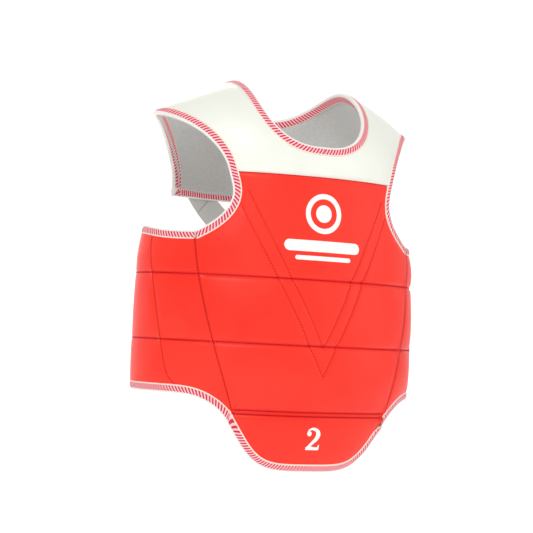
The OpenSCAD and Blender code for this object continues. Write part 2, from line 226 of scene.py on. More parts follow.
# ---- meshes ----

def make_mesh(name, points, faces, materials, face_slots=None, uv=None, body=None):
    me = bpy.data.meshes.new(name)
    co = (np.asarray(points, float).reshape(-1, 3) - [0, 0, REST_Z]) / 1000
    me.from_pydata(co.tolist(), [], [tuple(int(i) for i in f) for f in faces])
    for m in materials:
        me.materials.append(m)
    if face_slots is not None:
        me.polygons.foreach_set("material_index", np.asarray(face_slots, dtype=np.int32))
    if uv is not None:
        layer = me.uv_layers.new(name="UVMap")
        loops = np.zeros(len(me.loops), dtype=np.int32)
        me.loops.foreach_get("vertex_index", loops)
        layer.data.foreach_set("uv", np.asarray(uv, float).reshape(-1, 2)[loops].ravel())
    me.polygons.foreach_set("use_smooth", np.ones(len(me.polygons), dtype=bool))
    me.update()
    ob = bpy.data.objects.new(name, me)
    bpy.context.scene.collection.objects.link(ob)
    if body:
        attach(ob, body)
    return ob


def grid_faces(rows, cols, wrap=False, flip=False):
    """Quads between rows of points, closed from the last column to the first by wrap."""
    j, i = np.meshgrid(np.arange(rows - 1), np.arange(cols if wrap else cols - 1), indexing="ij")
    i2 = (i + 1) % cols
    f = np.stack([j * cols + i, j * cols + i2, (j + 1) * cols + i2, (j + 1) * cols + i], -1).reshape(-1, 4)
    return f[:, ::-1] if flip else f


def tube_faces(rows, cols, closed=False):
    """Quads round a tube made of rows of points, each row a ring of cols points."""
    faces = []
    for i in range(rows if closed else rows - 1):
        a, b = i * cols, (i + 1) % rows * cols
        faces += [(a + j, a + (j + 1) % cols, b + (j + 1) % cols, b + j) for j in range(cols)]
    return faces


def run_along(p):
    """Length of a line of points up to each of them."""
    return np.concatenate([[0], np.cumsum(np.linalg.norm(np.diff(p, axis=0), axis=1))])


def near(points, samples):
    """Distance from each point to the closest sample of a line, and that sample's number."""
    tree = kdtree.KDTree(len(samples))
    for i, p in enumerate(samples):
        tree.insert(p, i)
    tree.balance()
    found = [tree.find(p) for p in points.reshape(-1, 3)]
    distance = np.array([f[2] for f in found]).reshape(points.shape[:-1])
    return distance, np.array([f[1] for f in found]).reshape(points.shape[:-1])


def wave(points, size, seed):
    """Smooth noise from -1 to 1, one value for each point."""
    shift = Vector((seed * 7.3, seed * 3.1, -seed * 5.7))
    values = [noise.noise(Vector(p) / size + shift) for p in points.reshape(-1, 3)]
    return np.array(values).reshape(points.shape[:-1])


class Quilt:
    """Relief of a padded skin: it swells between seams and is drawn in along them.

    Soft seams only dent it, flat ones hold it down, and calm takes relief off round the side.
    """

    def __init__(self, seams, edges, soft=None, flat=None, swell=2.6, base=-1.0, wide=14, groove=1.9,
                 pucker=0.1, calm=0.0):
        self.seams, self.edges = np.concatenate(seams), np.concatenate(edges)
        self.soft = np.concatenate(soft) if soft else None
        self.flat = np.concatenate(flat) if flat else None
        self.swell, self.base, self.wide = swell, base, wide
        self.groove, self.pucker, self.calm = groove, pucker, calm

    def crease(self, p):
        """How dark the skin is from painted shade along its seams, 0 to 1."""
        dark = np.exp(-((near(p, self.seams)[0] / 1.25) ** 2))
        for lines, part in ((self.soft, 0.2), (self.flat, 0.15)):
            if lines is not None:
                dark = np.maximum(dark, part * np.exp(-(near(p, lines)[0] ** 2)))
        return dark

    def __call__(self, p):
        dm, at = near(p, self.seams)
        de = near(p, self.edges)[0]
        h = self.base + self.swell * (1 - np.exp(-dm / self.wide)) * (1 - np.exp(-de / 11))
        h -= self.groove * np.exp(-((dm / 2.6) ** 2))
        if self.flat is not None:
            held = 0.35 - 1.5 * np.exp(-de / 6)
            h = mix(held, h, 1 - np.exp(-((near(p, self.flat)[0] / 5) ** 2)))
        ripple = np.sin(at * 0.72 + 2.5 * wave(p, 40, 2)) * (0.5 + 0.5 * wave(p, 22, 3))
        h += self.pucker * ripple * np.exp(-((dm - 4) / 5.5) ** 2)
        if self.soft is not None:
            dv = near(p, self.soft)[0]
            h -= 0.95 * np.exp(-((dv / 1.7) ** 2)) + 0.45 * np.exp(-dv / 7)
        if self.calm:
            h *= 1 - self.calm * ease(-45, 25, p[..., 1])
        room = np.minimum(1, de / 12)
        return h + room * (0.75 * wave(p, 75, 5) + 0.28 * wave(p, 28, 6) + 0.07 * wave(p, 9, 7))


def skin(name, place, us, vs, relief, material, body, wrap=False, flip=False, rim=7.0, inward=False):
    """A padded skin over place(u, v, depth), turned in all round by rim."""
    u, v = np.meshgrid(us, vs)
    p = mirrored(place(u, v, 0.0), flip)
    out = mirrored(unit(place(u, v, 0.0) - place(u, v, 6.0)), flip)
    raised = p + out * relief(p)[..., None]
    sides = (0, 0) if wrap else (1, 1)
    turned = np.pad(raised + out * (rim if inward else -rim), ((1, 1), sides, (0, 0)), mode="edge")
    rows, cols = turned.shape[:2]
    turned[1:-1, sides[0]:cols - sides[1]] = raised
    # painted shade along the seams, stored on the points for the vinyl's colour
    dark = np.pad(relief.crease(p), ((1, 1), sides), mode="edge")
    ob = make_mesh(name, turned, grid_faces(rows, cols, wrap, flip != inward), [material], body=body)
    ob.data.attributes.new("crease", "FLOAT", "POINT").data.foreach_set("value", dark.ravel())
    return ob


def spread(n, *marks, total):
    """n + 1 values from 0 to 1, closer together within about 5 mm of the marks."""
    fine = np.linspace(0, 1, 4001)
    w = np.ones_like(fine)
    for m in marks:
        w += 1.6 * np.exp(-(((fine - m) * total / 5) ** 2))
    c = np.concatenate([[0], np.cumsum((w[1:] + w[:-1]) / 2)])
    return np.interp(np.linspace(0, c[-1], n + 1), c, fine)


# ---- materials ----

class Nodes:
    """The nodes of one material, with short forms for what repeats."""

    def __init__(self, tree, color):
        self.new, self.link = tree.nodes.new, tree.links.new
        self.surface = tree.nodes["Principled BSDF"].inputs
        self.color = color

    def coord(self):
        return self.new("ShaderNodeTexCoord").outputs["Object"]

    def noise(self, scale, detail, rough=0.55):
        n = self.new("ShaderNodeTexNoise")
        n.inputs["Scale"].default_value = scale
        n.inputs["Detail"].default_value = detail
        n.inputs["Roughness"].default_value = rough
        self.link(self.coord(), n.inputs["Vector"])
        return n.outputs["Fac"]

    def ramp(self, value, low, first, high, second):
        """The first colour up to the low value, and the second from the high value on."""
        r = self.new("ShaderNodeValToRGB")
        for e, at, color in zip(r.color_ramp.elements, (low, high), (first, second)):
            e.position = at
            e.color = (*color, 1)
        self.link(value, r.inputs["Fac"])
        return r.outputs["Color"]

    def math(self, op, value, other=0.0):
        n = self.new("ShaderNodeMath")
        n.operation = op
        self.link(value, n.inputs[0])
        if isinstance(other, (int, float)):
            n.inputs[1].default_value = other
        else:
            self.link(other, n.inputs[1])
        return n.outputs[0]

    def scaled(self, value, factor, plus=0.0):
        return self.math("ADD", self.math("MULTIPLY", value, factor), plus)

    def sine(self, value, period):
        return self.math("SINE", self.math("MULTIPLY", value, 2 * math.pi / period))

    def along_across(self):
        """Millimetres along a tape and across it, from its UVs."""
        uv = self.new("ShaderNodeUVMap")
        uv.uv_map = "UVMap"
        parts = self.new("ShaderNodeSeparateXYZ")
        self.link(uv.outputs["UV"], parts.inputs[0])
        return parts.outputs["X"], parts.outputs["Y"]

    def bump(self, height, strength, distance):
        n = self.new("ShaderNodeBump")
        n.inputs["Strength"].default_value = strength
        n.inputs["Distance"].default_value = distance
        self.link(height, n.inputs["Height"])
        self.link(n.outputs["Normal"], self.surface["Normal"])


def shader(name, color, rough, build=None, **inputs):
    m = bpy.data.materials.new(name)
    m.use_nodes = True
    surface = m.node_tree.nodes["Principled BSDF"].inputs
    surface["Base Color"].default_value = (*color, 1)
    surface["Roughness"].default_value = rough
    for k, v in inputs.items():
        surface[k.replace("_", " ")].default_value = v
    if build:
        build(Nodes(m.node_tree, color))
    m.diffuse_color = (*color, 1)
    return m


def vinyl(deep, shade, grain):
    """Coated cloth, darker with painted shade where its seams draw it in."""
    def build(n):
        tone = n.noise(9, 4)
        crease = n.new("ShaderNodeAttribute")
        crease.attribute_name = "crease"
        blend = n.new("ShaderNodeMix")
        blend.data_type = "RGBA"
        factor, plain, dark = (blend.inputs[i] for i in (0, 6, 7))  # the mix node's colour sockets
        # the shade colour is painted seam shade, blended in by the seam attribute
        dark.default_value = (*shade, 1)
        n.link(crease.outputs["Fac"], factor)
        n.link(n.ramp(tone, 0.3, deep, 0.62, n.color), plain)
        n.link(blend.outputs[2], n.surface["Base Color"])
        cells = n.new("ShaderNodeTexVoronoi")
        cells.feature = "DISTANCE_TO_EDGE"
        cells.inputs["Scale"].default_value = 900
        n.link(n.coord(), cells.inputs["Vector"])
        n.bump(n.scaled(cells.outputs["Distance"], 0.8, n.noise(260, 5, 0.6)), grain, 0.0006)
        n.link(n.scaled(tone, 0.12, 0.3), n.surface["Roughness"])
    return build


def twill(dark, light):
    """Diagonal stripes 4.2 mm apart along a tape."""
    def build(n):
        along, across = n.along_across()
        w = n.scaled(n.sine(n.scaled(across, 0.6, along), 4.2), 0.5, 0.5)
        n.link(n.ramp(w, 0.5, dark, 0.62, light), n.surface["Base Color"])
        n.bump(w, 0.5, 0.0005)
    return build


def ribbed(deep):
    """Woven webbing: ribs across the tape and softer lines along it."""
    def build(n):
        along, across = n.along_across()
        lines = n.scaled(n.sine(across, 2.4), 0.15, 0.5)
        w = n.scaled(n.sine(along, 1.7), 0.35, lines)
        n.link(n.ramp(w, 0.1, deep, 0.6, n.color), n.surface["Base Color"])
        n.bump(w, 0.55, 0.0006)
    return build


def cloth(deep, scale=700):
    """Fine mottled weave, also used for ink and plastic."""
    def build(n):
        w = n.noise(scale, 2)
        n.link(n.ramp(w, 0.35, deep, 0.65, n.color), n.surface["Base Color"])
        n.bump(w, 0.35, 0.0005)
    return build


# The third colour of each vinyl is the painted shade in its seams.
red_vinyl = shader("red_vinyl", (0.90, 0.040, 0.024), 0.36,
                   vinyl((0.85, 0.030, 0.017), (0.60, 0.003, 0.007), 0.16), Specular_IOR_Level=0.16)
white_vinyl = shader("white_vinyl", (0.80, 0.81, 0.74), 0.4,
                     vinyl((0.76, 0.77, 0.69), (0.74, 0.72, 0.64), 0.12), Specular_IOR_Level=0.35)
lining = shader("lining_cloth", (0.62, 0.62, 0.60), 0.85, cloth((0.50, 0.50, 0.48)))
tape_white = shader("tape_white", (0.86, 0.85, 0.80), 0.75, cloth((0.74, 0.72, 0.66)))
tape_cream = shader("tape_cream", (0.86, 0.80, 0.70), 0.75, cloth((0.74, 0.64, 0.54)))
tape_twill = shader("tape_twill", (0.75, 0.09, 0.15), 0.7, twill((0.60, 0.008, 0.035), (0.90, 0.52, 0.56)))
thread_red = shader("thread_red", (0.42, 0.002, 0.006), 0.8, Specular_IOR_Level=0.1)
thread_white = shader("thread_white", (0.78, 0.78, 0.74), 0.6)
webbing = shader("elastic_webbing", (0.80, 0.80, 0.77), 0.8, ribbed((0.52, 0.52, 0.50)))
hook = shader("hook_tape", (0.74, 0.74, 0.72), 0.95, cloth((0.4, 0.4, 0.39), 1400))
ink = shader("print_ink", (0.88, 0.88, 0.85), 0.45, cloth((0.80, 0.80, 0.77), 300))
plastic = shader("black_plastic", (0.018, 0.018, 0.020), 0.38, cloth((0.010, 0.010, 0.012), 400))
foam = shader("foam", (0.06, 0.06, 0.065), 0.95, cloth((0.03, 0.03, 0.033), 500))


# ---- seams: each is (place(t, depth), low t, high t) ----

V_SLOPE = 0.504
FOLD_W = 112  # half-length of the two fold seams
FOLD_HI_Z, FOLD_LO_Z = 75.0, 70.0


def level(z, turn):
    """Horizontal seam from one turn of the body to the other."""
    return (lambda th, d: ring_at(th, np.full_like(th, z), d), -turn, turn)


def across_front(z, half):
    return (lambda x, d: front_at(x, np.full_like(x, z), d), -half, half)


def vee(tip, top):
    return (lambda z, d: front_at(-(z - tip) * V_SLOPE, z, d), tip, top)


WING_SEAM = (lambda z, d: front_at(-seam_x(z), z, d), 66, SEAM_TOP + 4)
SIDE_SEAM = (lambda z, d: ring_at(-side_seam_turn(z), z, d), 96, 294)
YOKE_SEAM = across_front(YOKE_Z, CHEST_W)
FOLD_HI, FOLD_LO = across_front(FOLD_HI_Z, FOLD_W), across_front(FOLD_LO_Z, FOLD_W)
VEE_IN, VEE_OUT = vee(154.5, 346), vee(119.0, 326)


def line(seam, n=700):
    """Samples along a seam."""
    place, lo, hi = seam
    return place(np.linspace(lo, hi, n), 0.0)


def both(points):
    return [points, points * np.array([-1, 1, 1])]


wing_seam, side_seam, yoke_seam, fold_hi, fold_lo, vee_in, vee_out = map(
    line, (WING_SEAM, SIDE_SEAM, YOKE_SEAM, FOLD_HI, FOLD_LO, VEE_IN, VEE_OUT))
hi_front, lo_front = line(level(SEAM_HI, 60)), line(level(SEAM_LO, 60))
hi_all, lo_all = line(level(SEAM_HI, 140), 1400), line(level(SEAM_LO, 140), 1400)


# ---- edges: a point k along the edge, w mm inside it and d mm under the surface ----

def arm_curve(k, w, d):
    """Armhole edge of the right side, from the wing seam over the shoulder to the back hem."""
    z = mix(SEAM_TOP + 0.5, YOKE_Z, np.clip(k / 0.3, 0, 1))
    g = arm_slope(z)
    x, z = arm_x(z) - w / np.hypot(1, g), np.minimum(z + g * w / np.hypot(1, g), YOKE_Z)
    s = YOKE_BACK * np.clip((k - 0.3) / 0.7, 0, 1)
    return np.where((k < 0.3)[..., None], front_at(-x, z, d), yoke_at(w - cap_x(s), s, d))


def neck_curve(k, w, d):
    nx, ns = neck_edge(360 * k)
    ox, far = outer_edge(360 * k, 0, 0, 0)
    part = w / np.linalg.norm(yoke_at(ox, far, 0.0) - yoke_at(nx, ns, 0.0), axis=-1)
    return yoke_at(mix(nx, ox, part), mix(ns, far, part), d)


def back_hem_curve(k, w, d):
    return yoke_at(mix(-CHEST_W + 1, CHEST_W - 1, k), np.full_like(k, YOKE_BACK - w / BACK_DROP), d)


def wing_curve(k, w, d):
    """Top, back and bottom edge of the right wing, from seam to seam."""
    u = np.interp(k, [0, 0.42, 0.58, 1], [0, 1, 1, 0])
    v = np.interp(k, [0, 0.42, 0.58, 1], [1, 1, 0, 0])
    return wing_at(np.minimum(u, 1 - w / WING_LEN), np.clip(v, w / WING_H, 1 - w / WING_H), d)


def lobe_curve(k, w, d):
    x = mix(LOBE_TAPE_W, -LOBE_TAPE_W, k)
    g = hem_slope(x)
    return front_at(x - np.sign(x) * g * w / np.hypot(1, g), hem_at(x) + w / np.hypot(1, g), d)


def even(curve, step, closed=False):
    """Curve parameters a step apart along it, and its length."""
    k = np.linspace(0, 1, 3001)
    run = run_along(curve(k, 0.0, 0.0))
    n = int(run[-1] / step)
    return np.interp(np.linspace(0, run[-1], n + 1)[: n if closed else n + 1], run, k), run[-1]


def smoothed(a, reach, closed=False):
    """Values blended with their neighbours along a run, the two ends kept."""
    n = 3 * reach
    if closed:
        pad = np.concatenate([a[-n:], a, a[:n]])
    else:
        pad = np.concatenate([2 * a[0] - a[n:0:-1], a, 2 * a[-1] - a[-2:-n - 2:-1]])
    w = np.exp(-0.5 * (np.arange(-n, n + 1) / reach) ** 2)
    return np.stack([np.convolve(pad[:, i], w / w.sum(), "valid") for i in range(a.shape[1])], -1)


def edge_frame(curve, k, closed, cuts):
    """Point, direction into the panel and direction out of the surface at each k.

    Within 15 mm of an end with a cut, the tape leans over until it lies along that direction.
    """
    c, inner = (smoothed(curve(k, w, 0.0), 4, closed) for w in (0.0, 9.0))
    along = np.roll(c, -1, 0) - np.roll(c, 1, 0)
    if not closed:
        along[0], along[-1] = c[1] - c[0], c[-1] - c[-2]
    out = unit(np.cross(along, inner - c))
    out *= np.sign(np.sum(out * (c - curve(k, 0.0, 5.0)), axis=-1, keepdims=True))
    into = unit(np.cross(out, along))
    into *= np.sign(np.sum(into * (inner - c), -1, keepdims=True))
    for end, cut in zip((0, -1), cuts):
        if cut is None:
            continue
        near_end = np.clip(1 - np.linalg.norm(c - c[end], axis=-1) / 15, 0, 1)[:, None]
        lean = unit(mix(into, unit(np.asarray(cut, float)), near_end))
        into = lean / np.maximum(np.sum(lean * into, -1, keepdims=True), 0.5)
    return c, into, out


def band_section(t):
    """Section of a folded tape: (into the panel, out of the surface, material)."""
    cream, stripe, white = 0, 1, 2
    return [
        (10.7, -1.8, cream), (10.3, 0.0, cream), (9.6, 0.5, cream), (8.8, 0.15, stripe),
        (8.2, 0.45, stripe), (5.6, 0.85, stripe), (2.6, 0.4, stripe), (1.8, -0.35, white),
        (1.4, -0.05, white), (0.6, -0.15, white), (-0.3, -0.9, white), (-0.75, -2.2, white),
        (-0.7, -t + 4.9, white), (0.0, -t + 4.0, white), (1.0, -t + 3.2, stripe),
        (2.4, -t + 2.2, stripe), (5.2, -t + 0.6, stripe), (8.4, -t - 0.4, cream),
        (9.8, -t - 0.2, cream), (10.6, -t + 1.6, cream),
    ]


def binding(name, curve, body, node, thick, closed=False, flip=False, cuts=(None, None)):
    """Tape folded over an edge of a panel that is thick there."""
    k, length = even(curve, 1.6, closed)
    c, into, out = (mirrored(a, flip) for a in edge_frame(curve, k, closed, cuts))
    section = band_section(thick)
    w, h = (np.array([q[i] for q in section]) for i in (0, 1))
    lift = 0.22 * wave(c, 17, 11)[:, None]
    p = c[:, None] + into[:, None] * w[None, :, None] + out[:, None] * (h[None, :] + lift)[..., None]
    rows, cols = p.shape[:2]
    uv = np.stack(np.broadcast_arrays(np.linspace(0, length, rows)[:, None], w[None, :]), -1)
    faces = tube_faces(rows, cols, closed)
    slots = [q[2] for q in section] * (len(faces) // cols)
    if np.dot(np.cross(into[0], out[0]), c[1] - c[0]) > 0:
        faces = [f[::-1] for f in faces]
    if not closed:
        faces += [tuple(range(cols)), tuple(reversed(range((rows - 1) * cols, rows * cols)))]
        slots += [2, 2]
    ob = make_mesh(name, p, faces, [tape_cream, tape_twill, tape_white], slots, uv, body)
    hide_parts(node)
    return ob


# ---- stitches ----

STITCH, STITCH_GAP = 2.2, 1.5
THREAD_SIDES = 6


def stitches(name, runs, material, body, r=0.54):
    """Thread of radius r laid along each run of (points, outward directions)."""
    points, faces = [], []
    for p, out in runs:
        run = run_along(p)
        for s in np.arange(STITCH_GAP, run[-1] - STITCH, STITCH + STITCH_GAP):
            at = [np.array([np.interp(s + f * STITCH, run, p[:, i]) for i in range(3)]) for f in (0, 0.5, 1)]
            o = unit(np.array([np.interp(s + STITCH / 2, run, out[:, i]) for i in range(3)]))
            side = np.cross(o, unit(at[2] - at[0]))
            first = len(points)
            for q, wide, lift in zip(at, (0.5, 1.0, 0.5), (-0.25, 0.12, -0.25)):
                for a in range(THREAD_SIDES):
                    ang = 2 * math.pi / THREAD_SIDES * a
                    points.append(q + o * lift + (side * math.cos(ang) + o * math.sin(ang)) * r * wide)
            faces += [tuple(first + i for i in f) for f in tube_faces(3, THREAD_SIDES)]
            faces.append(tuple(first + a for a in reversed(range(THREAD_SIDES))))
            faces.append(tuple(first + 2 * THREAD_SIDES + a for a in range(THREAD_SIDES)))
    return make_mesh(name, points, faces, [material], body=body)


def run_of(seam, relief, lift=0.25, flip=False, part=(0, 1)):
    """A run for stitches(): the seam lifted on to the relief, with outward directions."""
    place, lo, hi = seam
    t = np.linspace(mix(lo, hi, part[0]), mix(lo, hi, part[1]), 400)
    p, deep = mirrored(place(t, 0.0), flip), mirrored(place(t, 5.0), flip)
    out = unit(p - deep)
    return p + out * (relief(p) + lift)[..., None], out


# ---- red panels ----

SEAM_GAP = 0.06  # so that the front and wing skins don't touch


def front_place(u, v, d):
    """Up to the wing seam at the sides and the armhole's tape above it."""
    z = mix(FOLD_Z, YOKE_Z, v)
    arm = np.where(z < SEAM_TOP - 30, BODY_W, arm_inside(z, TUCK))
    width = np.minimum(seam_x(np.minimum(z, SEAM_TOP)) - SEAM_GAP, arm)
    return front_at((2 * u - 1) * width, z, d)


def inner_line(curve, n=700):
    """Inner edge of the binding along a curve."""
    return curve(np.linspace(0, 1, n), BIND_W, 0.0)


top_edges = both(inner_line(arm_curve))
front_relief = Quilt([hi_front, lo_front, yoke_seam, fold_hi], top_edges,
                     soft=both(vee_in) + both(vee_out), flat=both(wing_seam))
front_marks = [(z - FOLD_Z) / FRONT_H for z in (SEAM_HI, SEAM_LO, FOLD_HI_Z, YOKE_Z)]
front_rows = spread(176, *front_marks, total=FRONT_H)
front_skin = skin("front_skin", front_place, np.linspace(0, 1, 205), front_rows, front_relief, red_vinyl,
                  FRONT)
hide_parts("front_cover")


def lobe_place(u, v, d):
    x = (2 * u - 1) * LOBE_W
    low = hem_at(x) + TUCK * np.hypot(1, hem_slope(x))
    return front_at(x, mix(np.minimum(low, FOLD_Z - 1), FOLD_Z, v), d)


lobe_relief = Quilt([fold_lo], [inner_line(lobe_curve)], swell=2.8, wide=13)
lobe_skin = skin("lobe_skin", lobe_place, np.linspace(0, 1, 140), spread(48, 1.0, total=70), lobe_relief,
                 red_vinyl, None)
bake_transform(lobe_skin)
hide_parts("lobe_cover")


def wing_place(u, v, d):
    """From the tape at the back edge to just behind the wing seam."""
    along, up = TUCK / WING_LEN, TUCK / WING_H
    return wing_at(mix(1 - along, 0.0003, u), mix(up, 1 - up, v), d)


wing_inner = inner_line(wing_curve, 900)
wing_reliefs = {}
wing_cols = spread(140, 0.67, 1.0, total=WING_LEN)
wing_rows = spread(124, (SEAM_HI - HEM_Z) / WING_H, (SEAM_LO - HEM_Z) / WING_H, total=WING_H)
for side, flip in SIDES:
    seams, flat = ([mirrored(q, flip) for q in lines] for lines in ((hi_all, lo_all), (wing_seam, side_seam)))
    relief = Quilt(seams, [mirrored(wing_inner, flip)], flat=flat, calm=0.72)
    wing_reliefs[side] = relief
    wing_skin = skin(f"wing_skin_{side}", wing_place, wing_cols, wing_rows, relief, red_vinyl, None,
                     flip=flip)
    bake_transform(wing_skin)
    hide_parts(f"wing_cover_{side}")

# ---- white yoke ----

yoke_edges = top_edges + [inner_line(neck_curve), inner_line(back_hem_curve)]


def yoke_place(u, v, d):
    """Round the neck by u and out from it to the armholes and both seams by v."""
    t = 360 * u
    nx, ns = neck_edge(t)
    ox, far = outer_edge(t, 0, 0, 0)
    k = TUCK / np.linalg.norm(yoke_at(ox, far, 0.0) - yoke_at(nx, ns, 0.0), axis=-1)
    ex, es = outer_edge(t, TUCK, 0.0, TUCK / BACK_DROP)
    return yoke_at(mix(mix(nx, ox, k), ex, v), mix(mix(ns, far, k), es, v), d)


yoke_relief = Quilt([yoke_seam], yoke_edges, swell=2.2, base=-0.9, wide=9, groove=1.2, pucker=0.45)
yoke_skin = skin("yoke_skin", yoke_place, np.linspace(0, 1, 289)[:-1], spread(34, 1.0, total=80), yoke_relief,
                 white_vinyl, FRONT, wrap=True, flip=True, rim=5.0)
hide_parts("yoke_cover")

# ---- linings ----

class Lining:
    """Depth of the inside skin under the outer surface: drawn in at the edges and seams."""

    def __init__(self, seams, edges, full, edge):
        self.seams, self.edges = np.concatenate(seams), np.concatenate(edges)
        self.full, self.edge = full, edge

    def __call__(self, p):
        dm, de = near(p, self.seams)[0], near(p, self.edges)[0]
        part = (1 - np.exp(-((de / 1.4) ** 2))) * (1 - 0.22 * np.exp(-((dm / 2.2) ** 2)))
        return -(mix(self.edge, self.full, part) + 0.25 + 0.3 * wave(p, 30, 8))

    def crease(self, p):
        return np.zeros(p.shape[:-1])


def lining_piece(name, place, us, vs, inside, body, node, wrap=False, flip=False, rim=10.0):
    ob = skin(name, place, us, vs, inside, lining, body, wrap, flip, rim, inward=True)
    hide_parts(node)
    return ob


front_seams = both(wing_seam) + [hi_front, lo_front, yoke_seam, fold_hi]
lining_piece("front_inside", front_place, np.linspace(0, 1, 90), np.linspace(0, 1, 90),
             Lining(front_seams, top_edges, BODY_T, YOKE_T), FRONT, "front_lining")
ob = lining_piece("lobe_inside", lobe_place, np.linspace(0, 1, 60), np.linspace(0, 1, 24),
                  Lining([fold_lo], [lobe_relief.edges], BODY_T, EDGE_T), None, "lobe_lining")
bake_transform(ob)
for side, flip in SIDES:
    inside = Lining([wing_reliefs[side].seams], [mirrored(wing_inner, flip)], BODY_T, EDGE_T)
    ob = lining_piece(f"wing_inside_{side}", wing_place, np.linspace(0, 1, 70), np.linspace(0, 1, 60),
                      inside, None, f"wing_lining_{side}", flip=flip)
    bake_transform(ob)
lining_piece("yoke_inside", yoke_place, np.linspace(0, 1, 145)[:-1], np.linspace(0, 1, 14),
             Lining([yoke_seam], yoke_edges, YOKE_T + 0.6, YOKE_T - 0.5), FRONT, "yoke_lining",
             wrap=True, flip=True, rim=3.0)

# ---- bindings, their ends cut along the wing seam ----

SEAM_HEAD = wing_seam[-80] - wing_seam[-20]
SEAM_FOOT = wing_seam[60] - wing_seam[0]

binding("neck_tape", neck_curve, FRONT, "neck_binding", YOKE_T, closed=True)
binding("back_hem_tape", back_hem_curve, FRONT, "back_hem_binding", YOKE_T)
ob = binding("lobe_tape", lobe_curve, None, "lobe_binding", EDGE_T,
             cuts=(mirrored(SEAM_FOOT, True), SEAM_FOOT))
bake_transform(ob)
for side, flip in SIDES:
    binding(f"armhole_tape_{side}", arm_curve, FRONT, f"armhole_binding_{side}", YOKE_T, flip=flip,
            cuts=(SEAM_HEAD, None))
    ob = binding(f"wing_tape_{side}", wing_curve, None, f"wing_binding_{side}", EDGE_T, flip=flip,
                 cuts=(SEAM_HEAD, SEAM_FOOT))
    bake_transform(ob)

# ---- straps, the same curve as the CAD ----

K_RING, K_MM = 0.084, 0.0035  # the ring's place along the strap, and what 1 mm is there
RING_LEN, FOLD_LEN, TAB_LEN = 17, 40, 62
K_BAR = K_RING + RING_LEN / 2 * K_MM
K_LOOP = K_RING - RING_LEN / 2 * K_MM
BAR_R = WIRE_R + 0.15 + STRAP_T / 2


def curve_at(k, d):
    """Point on the strap's line, d under the outer surface: k is 0 at the wing and 1 on the yoke."""
    return ring_at(-(WING_END + 68 * k), RING_Z + (344 - RING_Z) * k, d)


def curve_mid(k):
    """The strap's middle: over the wing and the yoke, and closer in on its way between them."""
    return curve_at(k, -3.2 + 14.2 * ease(0.1, 0.45, k) - 13.75 * ease(0.7, 0.97, k))


def curve_frame(k, h=0.0):
    """Centre h above the strap's curve, direction across it and direction out, at each k."""
    k = np.atleast_1d(np.asarray(k, float))
    along = unit(curve_mid(k + 0.01) - curve_mid(k - 0.01))
    side = unit(np.cross(curve_at(k, -1.0) - curve_at(k, 0.0), along))
    out = np.cross(along, side)
    return curve_mid(k) + out * np.reshape(h, (-1, 1)), side, out


def ribbon(name, frames, body, flip):
    """Webbing with rounded edges along frames of (centre, across, out)."""
    c, side, out = (mirrored(np.concatenate(f), flip) for f in zip(*frames))
    if flip:
        side = -side
    hw, ht = STRAP_W / 2, STRAP_T / 2
    top = [(-hw, 0), (-hw + 0.4, ht * 0.9)] + [(x * hw, ht) for x in (-0.9, -0.45, 0, 0.45, 0.9)]
    top.append((hw - 0.4, ht * 0.9))
    x, y = np.array(top + [(-a, -b) for a, b in top]).T
    p = c[:, None] + side[:, None] * x[None, :, None] + out[:, None] * y[None, :, None]
    rows, cols = p.shape[:2]
    uv = np.stack(np.broadcast_arrays(run_along(c)[:, None], x[None, :]), -1)
    ends = [tuple(reversed(range(cols))), tuple(range((rows - 1) * cols, rows * cols))]
    ob = make_mesh(name, p, tube_faces(rows, cols) + ends, [webbing], uv=uv, body=body)
    return ob


def round_bar(ahead, a0, a1):
    """Frames round a ring bar, from angle a0 to a1 degrees in the plane along the strap."""
    c, side, out = curve_frame(K_RING)
    along = np.cross(side, out)
    a = np.radians(np.linspace(a0, a1, 14))[:, None]
    o = along * np.cos(a) + out * np.sin(a)
    return c + along * ahead + o * BAR_R, np.repeat(side, len(a), 0), o


def flipped_out(f):
    return f[0], f[1], -f[2]


def box_stitch(k0, k1, lift, flip):
    """Runs of a sewn box with a cross in it, lift mm above the outer surface."""
    runs = []
    corners = [(k0, -14.0), (k1, -14.0), (k1, 14.0), (k0, 14.0)]
    sides = list(zip(corners, corners[1:] + corners[:1]))
    for p, q in sides + [(corners[0], corners[2]), (corners[1], corners[3])]:
        t = np.linspace(0, 1, 40)
        k, w = mix(p[0], q[0], t), mix(p[1], q[1], t)
        _, side, out = curve_frame(k)
        c = curve_at(k, 0.0) + out * lift + side * w[:, None]
        runs.append((mirrored(c, flip), mirrored(out, flip)))
    return runs


